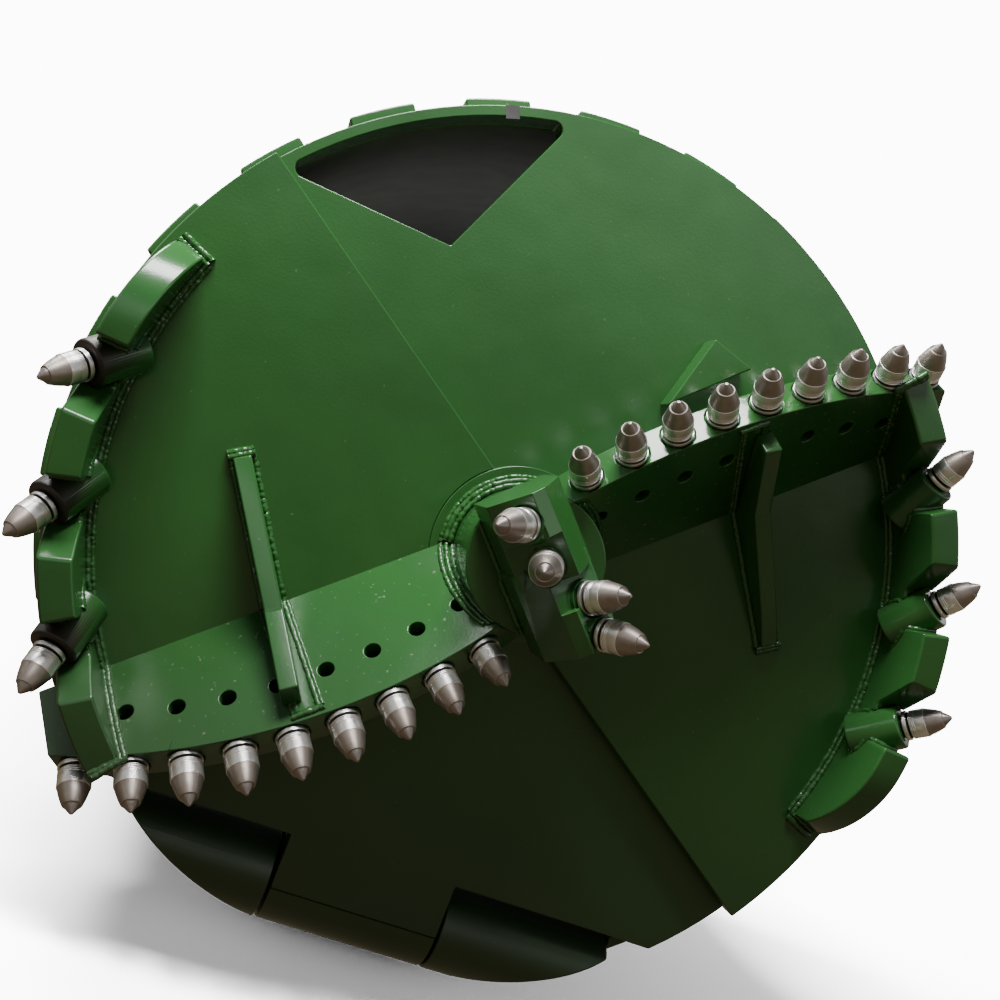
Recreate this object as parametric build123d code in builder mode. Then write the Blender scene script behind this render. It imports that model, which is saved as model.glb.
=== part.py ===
"""Rock drilling bucket with a rotating double bottom, lying on its side as it is parked.

Bucket axes, used for every sketch: x to the right, y up, z out of the cutting end, with z = 0 on the
outer face of the hinged bottom plate. Azimuths are degrees from x towards y. In the part's own frame the
bucket's axis lies along Y, the cutting end faces -Y and +Z is up.
"""
import os
from math import asin, atan2, cos, degrees, radians, sin, sqrt, tan

from build123d import *

os.makedirs("parts", exist_ok=True)

# Shell, millimetres
shell_radius = 760
shell_wall = 20
shell_length = 1200
top_plate_thick = 40
flow_hole_radius = 110
flow_hole_circle = 480
flow_hole_count = 4

# Wear plates round the shell
wear_thick = 27
wear_width = 115
wear_count = 24
wear_front_length = 180
wear_back_length = 120

# Kelly box
kelly_outer = 300
kelly_inner = 200
kelly_height = 320
kelly_pin_radius = 35
kelly_pin_height = 230
gusset_reach = 560
gusset_height = 165
gusset_thick = 30

# Hinged bottom plate
bottom_thick = 50
turning_gap = 5
window_azimuth = 123
window_depth = 210
window_half_angle = 56
window_rim_width = 19
window_corner = 15
inlet_azimuth = 184
inlet_half_angle = 26
inlet_inner = 220
inlet_rim_width = 120
inlet_corner = 30

# Hinge at the foot of the bottom plate
hinge_barrel_radius = 75
hinge_inset = 92
hinge_pin_radius = 30
hinge_pin_half_length = 290
hinge_notch_depth = 187
tongue_half_width = 150
tongue_shift = -28
lug_end_inset = 320
lug_tail_length = 145
hinge_side_gap = 5
barrel_relief = 1
running_clearance = 0.05

# Rotating bottom: sector plates, hub and pivot
sector_thick = 40
sector_lead = 25
trail_azimuth = 146.7
trail_shift = 53
hub_radius = 113
hub_flange_radius = 150
hub_height = 145
pivot_radius = 60
pivot_in_hub = 75
pivot_boss_radius = 130
pivot_boss_thick = 60
pivot_collar_radius = 100
pivot_collar_thick = 35
turn_range = 72
stop_height = 50
stop_inner = 362
stop_outer = 505
stop_width = 85

# Round shank teeth
tooth_head = 84
tooth_collar_radius = 26
tooth_collar_height = 21
tooth_neck_radius = 22.5
tooth_neck_height = 3
tooth_body_radius = 24.8
tooth_body_height = 18
tooth_cone_height = 28
tooth_cone_end_radius = 14
tooth_tip_base_radius = 9
tooth_tip_radius = 3
shank_radius = 19
shank_length = 68
bore_depth = 78
shank_clearance = 0.05

# Inclined tooth arms
arm_azimuth = 41
arm_slope = 47.5
arm_thick = 60
arm_root_shift = -24
arm_inner_end = 62
arm_teeth = 9
first_tooth = 123.5
last_tooth_inset = 2.9
arm_overhang = 27
crown_along = 343
crown_up = 203
crown_radius = 942
crown_span = 417
tooth_lean_share = 0.48
edge_rise = 4
spot_face_radius = 28
knock_out_radius = 13
knock_out_back = 72
rib_along = 405
rib_skew = 8.3
rib_thick = 30
rib_length = 244
rib_up = 198
rib_depth = 40
rib_tail_height = 18
rib_shoulder = 62
rib_shoulder_height = 50
rib_bend_height = 56

# Side walls and their tooth holders
side_wall_inset = 18
side_wall_thick = 52
side_wall_crest = 133
side_wall_valley = 55
side_axis_height = 76
side_seat_inset = 19.5
side_first_seat = 9.9
side_seat_pitch = 16.9
side_teeth_count = 3
side_tooth_lean = 46
side_tooth_tilt = 38
side_step_back = 45
side_plateau = 90
side_ramp = 52
side_tail_flat = 30
side_tail = 166
side_tail_height = 12
holder_radius = 38
holder_length = 95

# Pilot bit
pilot_azimuth = 134
pilot_half_length = 125
pilot_step = 56
pilot_overlap = 12
pilot_lead = 58
pilot_lead_height = 106
pilot_trail = 62
pilot_trail_height = 95
pilot_crest = 24
pilot_crest_height = 155
pilot_peak = 1.5
pilot_peak_height = 162
pilot_socket_radius = 29

# Latch behind the bottom plate's rim, and its release rod
latch_azimuth = 80
latch_thick = 24
latch_side_gap = 3
latch_swing = 8
latch_tongue_gap = 15
latch_tongue_thick = 35
latch_tongue_depth = 100
tongue_notch_width = 40
tongue_notch_depth = 17
latch_pivot_gap = 120
latch_pivot_back = 260
latch_pin_radius = 12
dog_boss_radius = 28
dog_bar_half = 22
dog_arm_half = 15
nose_width = 25
nose_clear = 14
rod_wall_gap = 50
rod_radius = 12
rod_head_radius = 30
rod_head_thick = 20
rod_rise = 90
rod_gap = 3
cheek_thick = 15
cheek_radius = 40
guide_back = 760
guide_length = 60
guide_half = 30

# Derived places
wear_radius = shell_radius + wear_thick
wear_half_angle = degrees(asin(wear_width / 2 / wear_radius))
foot = wear_radius * cos(radians(180 / wear_count - wear_half_angle))
shell_inner = shell_radius - shell_wall
window_rim = shell_radius - window_rim_width
window_apex = window_rim - window_depth
inlet_outer = shell_radius - inlet_rim_width
shell_front = -bottom_thick - turning_gap
shell_back = shell_front - shell_length
top_back = shell_back - top_plate_thick
kelly_back = top_back - kelly_height
hinge_chord = shell_radius - hinge_notch_depth
hinge_drop = shell_radius - hinge_inset
hinge_z = -hinge_barrel_radius
lug_top = hinge_drop - hinge_barrel_radius
lug_bottom = hinge_drop + hinge_barrel_radius
lug_outer = shell_radius - lug_end_inset
hinge_room = lug_outer + hinge_side_gap
notch_back = hinge_z - hinge_inset - 2 * turning_gap
sector_back = turning_gap
deck = sector_back + sector_thick
hub_top = deck + hub_height
shank_fit = shank_radius - shank_clearance
neck_top = tooth_collar_height + tooth_neck_height
body_top = neck_top + tooth_body_height
cone_top = body_top + tooth_cone_height
tooth_pitch = (shell_radius - last_tooth_inset - first_tooth) / (arm_teeth - 1)
arm_outer_end = shell_radius + arm_overhang
# The crown is rounder or flatter on another shell, so that its outer end stays as high
edge_radius = crown_radius * ((shell_radius - crown_along) / crown_span) ** 2
side_seat_radius = shell_radius - side_seat_inset
wall_outer = shell_radius - side_wall_inset
wall_inner = wall_outer - side_wall_thick
wall_middle = wall_outer - side_wall_thick / 2
rod_circle = shell_inner - rod_wall_gap
latch_pivot_radius = shell_inner - latch_pivot_gap
tongue_outer = shell_inner - latch_tongue_gap
tongue_inner = tongue_outer - latch_tongue_thick

# Pilot teeth: radius, azimuth and height of the seat, heading and tilt up from the bottom's plane
pilot_teeth_table = [
    (86, 147, 143, 198, 48),
    (20, 175, 136, 204, 74),
    (58, -21, 132, 35, 55),
    (111, -33, 140, 12, 53),
]
front_reach = hub_top + max(
    height + tooth_head * sin(radians(tilt)) + tooth_tip_radius * cos(radians(tilt))
    for radius, azimuth, height, heading, tilt in pilot_teeth_table
)
front_y = (front_reach + kelly_back) / 2

FRONT = Plane(origin=(0, front_y, foot), x_dir=(1, 0, 0), z_dir=(0, -1, 0))


def polar(radius, azimuth):
    """Point at a radius and azimuth in the bucket's x and y."""
    return (radius * cos(radians(azimuth)), radius * sin(radians(azimuth)))


def placed(origin, x_dir, z_dir):
    """Plane given in the bucket's axes."""
    return Plane(FRONT.location * Plane(origin=origin, x_dir=x_dir, z_dir=z_dir).location)


def radial_plane(azimuth):
    """Plane through the axis: x runs outwards, y towards the cutting end."""
    return placed((0, 0, 0), (*polar(1, azimuth), 0), (*polar(1, azimuth - 90), 0))


def tangent_plane(azimuth, radius, z):
    """Plane square to a radius: x runs in the cutting direction, y towards the cutting end."""
    return placed((*polar(radius, azimuth), z), (*polar(1, azimuth + 90), 0), (*polar(1, azimuth), 0))


def cross_plane(x):
    """Plane square to the hinge line: x runs down, y towards the cutting end."""
    return placed((x, 0, 0), (0, -1, 0), (-1, 0, 0))


def turned(along, across, azimuth):
    """Bucket x and y of a point given along and across a direction."""
    dx, dy = polar(1, azimuth)
    return (along * dx - across * dy, along * dy + across * dx)


def arm_plane(azimuth):
    """Middle plane of an arm: x outwards along it, y up its slope from the deck, z out of its back."""
    up = radians(arm_slope)
    normal = (*turned(0, -sin(up), azimuth), cos(up))
    return placed((*turned(0, arm_root_shift, azimuth), deck), (*polar(1, azimuth), 0), normal)


def arm_point(along, up, azimuth):
    """Bucket x, y and z of a point on an arm's middle plane."""
    across = arm_root_shift + up * cos(radians(arm_slope))
    return (*turned(along, across, azimuth), deck + up * sin(radians(arm_slope)))


def arm_seats():
    """Each arm tooth's seat along and up the arm's plane, and its lean in that plane."""
    seats = []
    for number in range(arm_teeth):
        along = first_tooth + number * tooth_pitch
        fan = asin((along - crown_along) / edge_radius)
        up = crown_up - edge_radius * (1 - cos(fan))
        seats.append((along, up, degrees(fan) * tooth_lean_share))
    return seats


def arm_edge(along):
    """Point on the arm's crowned edge, just above the tooth seats."""
    rise = (edge_radius + edge_rise) ** 2 - (along - crown_along) ** 2
    return (along, crown_up - edge_radius + sqrt(rise))


def tooth_plane(seat, way):
    """Plane on a tooth's seat, z along the tooth towards its tip."""
    side = (-way[1], way[0], 0)
    return placed(seat, side, way)


def arm_tooth_planes(azimuth):
    """Seat planes of one arm's teeth."""
    planes = []
    for along, up, lean in arm_seats():
        rise = cos(radians(lean))
        flat = turned(sin(radians(lean)), rise * cos(radians(arm_slope)), azimuth)
        way = (*flat, rise * sin(radians(arm_slope)))
        planes.append(tooth_plane(arm_point(along, up, azimuth), way))
    return planes


def side_azimuths(azimuth):
    """Azimuths of one wall's tooth seats, from the arm backwards."""
    return [azimuth - side_first_seat - number * side_seat_pitch for number in range(side_teeth_count)]


def side_tooth_planes(azimuth):
    """Seat planes of one wall's teeth."""
    height = deck + side_axis_height
    planes = []
    for seat in side_azimuths(azimuth):
        flat = polar(cos(radians(side_tooth_tilt)), seat + side_tooth_lean)
        way = (*flat, sin(radians(side_tooth_tilt)))
        planes.append(tooth_plane((*polar(side_seat_radius, seat), height), way))
    return planes


def pilot_tooth_planes():
    """Seat planes of the pilot's teeth."""
    planes = []
    for radius, azimuth, height, heading, tilt in pilot_teeth_table:
        way = (*polar(cos(radians(tilt)), heading), sin(radians(tilt)))
        planes.append(tooth_plane((*polar(radius, azimuth), hub_top + height), way))
    return planes


def locations(planes):
    """Locations of a list of planes."""
    return [Location(plane) for plane in planes]


def save(piece, name):
    """Label a finished piece and write its file."""
    piece.part.label = name
    export_step(piece.part, f"parts/{name}.step")


# Shell tube, cut away at the hinge
with BuildPart() as shell_tube:
    with BuildSketch(FRONT.offset(shell_back)):
        Circle(shell_radius)
        Circle(shell_inner, mode=Mode.SUBTRACT)
    extrude(amount=shell_length)
    with BuildSketch(FRONT.offset(notch_back)):
        with Locations((0, -shell_radius)):
            Rectangle(2 * hinge_room, shell_radius)
    extrude(amount=shell_front - notch_back, mode=Mode.SUBTRACT)
save(shell_tube, "shell_tube")

# Top plate with its flow holes and the hole for the release rod
with BuildPart() as top_plate:
    with BuildSketch(FRONT.offset(top_back)):
        Circle(shell_radius)
        with PolarLocations(flow_hole_circle, flow_hole_count, start_angle=180 / flow_hole_count):
            Circle(flow_hole_radius, mode=Mode.SUBTRACT)
        with Locations(polar(rod_circle, latch_azimuth)):
            Circle(rod_radius + latch_side_gap, mode=Mode.SUBTRACT)
    extrude(amount=top_plate_thick)
save(top_plate, "top_plate")

# Kelly box, a square socket cross-drilled for its pin
with BuildPart() as kelly_box:
    with BuildSketch(FRONT.offset(kelly_back)):
        Rectangle(kelly_outer, kelly_outer)
        Rectangle(kelly_inner, kelly_inner, mode=Mode.SUBTRACT)
    extrude(amount=kelly_height)
    with BuildSketch(cross_plane(0)):
        with Locations((0, top_back - kelly_pin_height)):
            Circle(kelly_pin_radius)
    extrude(amount=kelly_outer, both=True, mode=Mode.SUBTRACT)
save(kelly_box, "kelly_box")

# Gussets that brace the kelly box on the top plate
with BuildPart() as kelly_gussets:
    for azimuth in (0, 90, 180, 270):
        with BuildSketch(radial_plane(azimuth)):
            Polygon(
                (kelly_outer / 2, top_back),
                (gusset_reach, top_back),
                (gusset_reach, top_back - gusset_thick),
                (kelly_outer / 2 + gusset_thick, top_back - gusset_height),
                (kelly_outer / 2, top_back - gusset_height),
                align=None,
            )
        extrude(amount=gusset_thick / 2, both=True)
save(kelly_gussets, "kelly_gussets")

# Wear plates: name, back end, length and length where they lie by the hinge
wear_pitch = 360 / wear_count
hinge_half_angle = degrees(asin(hinge_room / shell_radius)) + wear_half_angle
front_ring_back = shell_front - wear_front_length
wear_rings = [
    ("wear_plates_front", front_ring_back, wear_front_length, notch_back - turning_gap - front_ring_back),
    ("wear_plates_back", shell_back, wear_back_length, wear_back_length),
]
for ring_name, ring_back, ring_length, length_by_hinge in wear_rings:
    with BuildPart() as wear_plates:
        for number in range(wear_count):
            turn = wear_pitch * (number + 0.5)
            by_hinge = min(turn, 360 - turn) < hinge_half_angle
            with BuildSketch(FRONT.offset(ring_back)):
                with Locations(Location((*polar(shell_radius, turn - 90), 0), (0, 0, turn - 90))):
                    Rectangle(4 * wear_thick, wear_width)
                Circle(wear_radius, mode=Mode.INTERSECT)
                Circle(shell_radius, mode=Mode.SUBTRACT)
            extrude(amount=length_by_hinge if by_hinge else ring_length)
    save(wear_plates, ring_name)

# Hinge lugs inside the shell's outline: a round nose over the pin and a tail along the shell's inner wall
lug_spans = [
    ("hinge_lug_left", -lug_outer, tongue_shift - tongue_half_width - hinge_side_gap),
    ("hinge_lug_right", tongue_shift + tongue_half_width + hinge_side_gap, lug_outer),
]
tail_back = notch_back - lug_tail_length
for lug_name, lug_from, lug_to in lug_spans:
    lug_plane = cross_plane((lug_from + lug_to) / 2)
    with BuildPart() as lug:
        with BuildSketch(lug_plane):
            Polygon((lug_top, notch_back), (lug_bottom, notch_back), (lug_bottom, tail_back), align=None)
        extrude(amount=(lug_to - lug_from) / 2, both=True)
        with BuildSketch(FRONT.offset(tail_back)):
            Circle(shell_inner)
        extrude(amount=lug_tail_length, mode=Mode.INTERSECT)
        with BuildSketch(lug_plane):
            with Locations((hinge_drop, hinge_z)):
                Circle(hinge_barrel_radius)
            Polygon(
                (lug_top, hinge_z),
                (lug_bottom, hinge_z),
                (lug_bottom, notch_back),
                (lug_top, notch_back),
                align=None,
            )
        extrude(amount=(lug_to - lug_from) / 2, both=True)
        with BuildSketch(FRONT.offset(tail_back)):
            Circle(shell_radius)
        extrude(amount=-tail_back, mode=Mode.INTERSECT)
        with BuildSketch(cross_plane(0)):
            with Locations((hinge_drop, hinge_z)):
                Circle(hinge_pin_radius + running_clearance)
        extrude(amount=lug_outer, both=True, mode=Mode.SUBTRACT)
    save(lug, lug_name)

# Hinge pin through both lugs and the bottom plate's tongue
with BuildPart() as hinge_pin:
    with BuildSketch(cross_plane(0)):
        with Locations((hinge_drop, hinge_z)):
            Circle(hinge_pin_radius)
    extrude(amount=hinge_pin_half_length, both=True)
save(hinge_pin, "hinge_pin")

# Latch bracket: two cheeks on the shell's inner wall
cheek_shift = latch_thick / 2 + latch_side_gap + cheek_thick / 2
with BuildPart() as latch_bracket:
    for side in (-1, 1):
        with BuildSketch(radial_plane(latch_azimuth).offset(side * cheek_shift)):
            with Locations((latch_pivot_radius, -latch_pivot_back)):
                Circle(cheek_radius)
            Polygon(
                (latch_pivot_radius, -latch_pivot_back - cheek_radius),
                (shell_radius, -latch_pivot_back - cheek_radius),
                (shell_radius, -latch_pivot_back + cheek_radius),
                (latch_pivot_radius, -latch_pivot_back + cheek_radius),
                align=None,
            )
            with Locations((latch_pivot_radius, -latch_pivot_back)):
                Circle(latch_pin_radius + running_clearance, mode=Mode.SUBTRACT)
        extrude(amount=cheek_thick / 2, both=True)
    with BuildSketch(FRONT.offset(shell_back)):
        Circle(shell_inner)
    extrude(amount=shell_length, mode=Mode.INTERSECT)
save(latch_bracket, "latch_bracket")

with BuildPart() as latch_pin:
    with BuildSketch(radial_plane(latch_azimuth)):
        with Locations((latch_pivot_radius, -latch_pivot_back)):
            Circle(latch_pin_radius)
    extrude(amount=cheek_shift + cheek_thick / 2, both=True)
save(latch_pin, "latch_pin")

# Guide block for the release rod on the shell's inner wall
with BuildPart() as rod_guide:
    with BuildSketch(FRONT.offset(-guide_back)):
        with Locations(Location((*polar(rod_circle + guide_half, latch_azimuth), 0), (0, 0, latch_azimuth))):
            Rectangle(4 * guide_half, 2 * guide_half)
        Circle(shell_inner, mode=Mode.INTERSECT)
        with Locations(polar(rod_circle, latch_azimuth)):
            Circle(rod_radius + running_clearance, mode=Mode.SUBTRACT)
    extrude(amount=guide_length)
save(rod_guide, "rod_guide")

# Latch dog, a bell crank drawn clear of the tongue: its nose swings out, its short arm meets the rod
notch_z = -bottom_thick - latch_tongue_depth / 2
nose_radius = tongue_inner - nose_clear
nose_rise = nose_radius - latch_pivot_radius
swing = radians(latch_swing)
nose_z = -latch_pivot_back + (notch_z + latch_pivot_back + nose_rise * sin(swing)) / cos(swing)
with BuildPart() as latch_dog:
    with BuildSketch(radial_plane(latch_azimuth)):
        with Locations((latch_pivot_radius, -latch_pivot_back)):
            Circle(dog_boss_radius)
        Polygon(
            (latch_pivot_radius - dog_bar_half, -latch_pivot_back),
            (latch_pivot_radius + dog_bar_half, -latch_pivot_back),
            (latch_pivot_radius + dog_bar_half, nose_z - nose_width / 2),
            (nose_radius, nose_z - nose_width / 2),
            (nose_radius, nose_z + nose_width / 2),
            (latch_pivot_radius, nose_z + nose_width / 2),
            align=None,
        )
        Polygon(
            (latch_pivot_radius, -latch_pivot_back - dog_arm_half),
            (rod_circle + rod_radius, -latch_pivot_back - dog_arm_half),
            (rod_circle + rod_radius, -latch_pivot_back + dog_arm_half),
            (latch_pivot_radius, -latch_pivot_back + dog_arm_half),
            align=None,
        )
        with Locations((latch_pivot_radius, -latch_pivot_back)):
            Circle(latch_pin_radius + running_clearance, mode=Mode.SUBTRACT)
    extrude(amount=latch_thick / 2, both=True)
save(latch_dog, "latch_dog")

# Release rod along the shell's inner wall, with its push head above the top plate
rod_foot = -latch_pivot_back - dog_arm_half - rod_gap
with BuildPart() as release_rod:
    with BuildSketch(FRONT.offset(rod_foot)):
        with Locations(polar(rod_circle, latch_azimuth)):
            Circle(rod_radius)
    extrude(amount=top_back - rod_rise - rod_foot)
    with BuildSketch(FRONT.offset(top_back - rod_rise - rod_head_thick)):
        with Locations(polar(rod_circle, latch_azimuth)):
            Circle(rod_head_radius)
    extrude(amount=rod_head_thick)
save(release_rod, "release_rod")

# Hinged bottom plate with its window, inlets, hinge tongue and pivot bore
inlet_far = 2 * shell_radius
with BuildPart() as bottom_plate:
    with BuildSketch(FRONT.offset(-bottom_thick)):
        Circle(shell_radius)
        for side in (-1, 1):
            notch_middle = tongue_shift + side * (tongue_half_width + shell_radius / 2)
            with Locations((notch_middle, -hinge_chord - shell_radius / 2)):
                Rectangle(shell_radius, shell_radius, mode=Mode.SUBTRACT)
        with Locations((0, -hinge_drop - shell_radius / 2)):
            Rectangle(2 * shell_radius, shell_radius, mode=Mode.SUBTRACT)
        Circle(pivot_radius + running_clearance, mode=Mode.SUBTRACT)
    extrude(amount=bottom_thick)
    with BuildSketch(FRONT.offset(-bottom_thick)) as window:
        Circle(window_rim)
        window_side = window_rim * 2
        Polygon(
            polar(window_apex, window_azimuth),
            tuple(a + b for a, b in zip(
                polar(window_apex, window_azimuth),
                polar(window_side, window_azimuth - window_half_angle))),
            tuple(a + b for a, b in zip(
                polar(window_apex, window_azimuth),
                polar(window_side, window_azimuth + window_half_angle))),
            align=None,
            mode=Mode.INTERSECT,
        )
        fillet(window.vertices().sort_by_distance(polar(window_apex, window_azimuth))[1:], window_corner)
    extrude(amount=bottom_thick, mode=Mode.SUBTRACT)
    for azimuth in (inlet_azimuth, inlet_azimuth + 180):
        with BuildSketch(FRONT.offset(-bottom_thick)) as inlet:
            Circle(inlet_outer)
            Polygon(
                (0, 0),
                polar(inlet_far, azimuth - inlet_half_angle),
                polar(inlet_far, azimuth + inlet_half_angle),
                align=None,
                mode=Mode.INTERSECT,
            )
            Circle(inlet_inner, mode=Mode.SUBTRACT)
            fillet(inlet.vertices(), inlet_corner)
        extrude(amount=bottom_thick, mode=Mode.SUBTRACT)
    with BuildSketch(cross_plane(tongue_shift)):
        with Locations((hinge_drop, hinge_z)):
            Circle(hinge_barrel_radius - barrel_relief)
    extrude(amount=tongue_half_width, both=True)
    with BuildSketch(cross_plane(tongue_shift)):
        with Locations((hinge_drop, hinge_z)):
            Circle(hinge_pin_radius + running_clearance)
    extrude(amount=tongue_half_width, both=True, mode=Mode.SUBTRACT)
save(bottom_plate, "bottom_plate")

# Boss behind the bottom plate that steadies the pivot
with BuildPart() as pivot_boss:
    with BuildSketch(FRONT.offset(-bottom_thick - pivot_boss_thick)):
        Circle(pivot_boss_radius)
        Circle(pivot_radius + running_clearance, mode=Mode.SUBTRACT)
    extrude(amount=pivot_boss_thick)
save(pivot_boss, "pivot_boss")

# Stop block: its face meets the turned sector plate's trailing edge
stop_azimuth = trail_azimuth - turn_range
stop_shift = -trail_shift - turning_gap
with BuildPart() as stop_block:
    with BuildSketch(FRONT):
        Polygon(
            turned(stop_inner, stop_shift, stop_azimuth),
            turned(stop_outer, stop_shift, stop_azimuth),
            turned(stop_outer, stop_shift - stop_width, stop_azimuth),
            align=None,
        )
    extrude(amount=stop_height)
save(stop_block, "stop_block")

# Latch tongue on the bottom plate: a bar behind its rim with a notch for the dog's nose
with BuildPart() as latch_tongue:
    with BuildSketch(radial_plane(latch_azimuth)):
        Polygon(
            (tongue_inner, -bottom_thick),
            (tongue_outer, -bottom_thick),
            (tongue_outer, -bottom_thick - latch_tongue_depth),
            (tongue_inner, -bottom_thick - latch_tongue_depth),
            align=None,
        )
        with Locations((tongue_inner, notch_z)):
            Rectangle(2 * tongue_notch_depth, tongue_notch_width, mode=Mode.SUBTRACT)
    extrude(amount=latch_thick / 2, both=True)
save(latch_tongue, "latch_tongue")

# One tooth as a pattern, its seat at z = 0 and its tip up
with BuildPart() as tooth:
    with BuildSketch(Plane.XZ):
        Polygon(
            (0, -shank_length),
            (shank_fit, -shank_length),
            (shank_fit, 0),
            (tooth_collar_radius, 0),
            (tooth_collar_radius, tooth_collar_height),
            (tooth_neck_radius, tooth_collar_height),
            (tooth_neck_radius, neck_top),
            (tooth_body_radius, neck_top),
            (tooth_body_radius, body_top),
            (tooth_cone_end_radius, cone_top),
            (tooth_tip_base_radius, cone_top),
            (tooth_tip_radius, tooth_head),
            (0, tooth_head),
            align=None,
        )
    revolve(axis=Axis.Z)

# Hub and the flange under it, bored for the pivot
with BuildPart() as hub_flange:
    with BuildSketch(FRONT.offset(sector_back)):
        Circle(hub_flange_radius)
        Circle(pivot_radius + running_clearance, mode=Mode.SUBTRACT)
    extrude(amount=sector_thick)
save(hub_flange, "hub_flange")

with BuildPart() as hub:
    with BuildSketch(FRONT.offset(deck)):
        Circle(hub_radius)
    extrude(amount=hub_height)
    with BuildSketch(FRONT.offset(deck)):
        Circle(pivot_radius + running_clearance)
    extrude(amount=pivot_in_hub, mode=Mode.SUBTRACT)
save(hub, "hub")

# Pivot shaft and the collar that holds it behind the boss
collar_front = -bottom_thick - pivot_boss_thick - turning_gap
with BuildPart() as pivot_shaft:
    with BuildSketch(FRONT.offset(collar_front - pivot_collar_thick)):
        Circle(pivot_radius)
    extrude(amount=deck + pivot_in_hub - collar_front + pivot_collar_thick)
save(pivot_shaft, "pivot_shaft")

with BuildPart() as pivot_collar:
    with BuildSketch(FRONT.offset(collar_front - pivot_collar_thick)):
        Circle(pivot_collar_radius)
        Circle(pivot_radius + running_clearance, mode=Mode.SUBTRACT)
    extrude(amount=pivot_collar_thick)
save(pivot_collar, "pivot_collar")

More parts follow.
